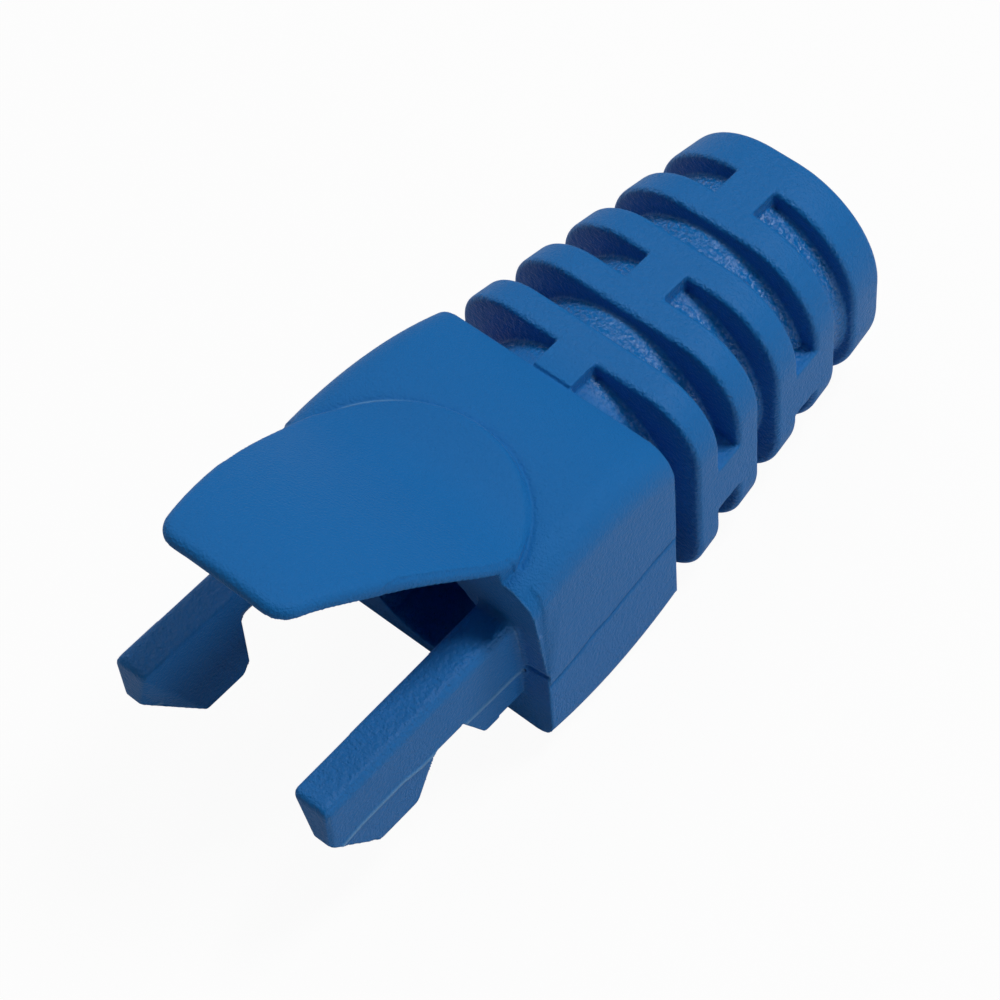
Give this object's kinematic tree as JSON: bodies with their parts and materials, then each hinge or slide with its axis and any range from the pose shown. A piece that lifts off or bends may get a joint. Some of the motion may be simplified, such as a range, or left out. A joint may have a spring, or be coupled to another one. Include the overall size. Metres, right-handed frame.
{
  "type": "modular plug strain relief boot",
  "caption": "One-piece moulded boot with a ribbed cable sleeve, a block with an oval plug pocket, hooked side arms and a curved hood over the plug's latch.",
  "frame": {"origin": "centre of the cable hole at the end face of the ribbed sleeve", "axes": "+Y along the cable hole, out of the end where the cable leaves; +Z to the hooded side; +X across the boot"},
  "size_m": [0.014, 0.0355, 0.0185],
  "materials": {
    "boot": "matte moulded blue, fine grain"
  },
  "bodies": {
    "root": {"boot": "boot"}
  },
  "joints": []
}
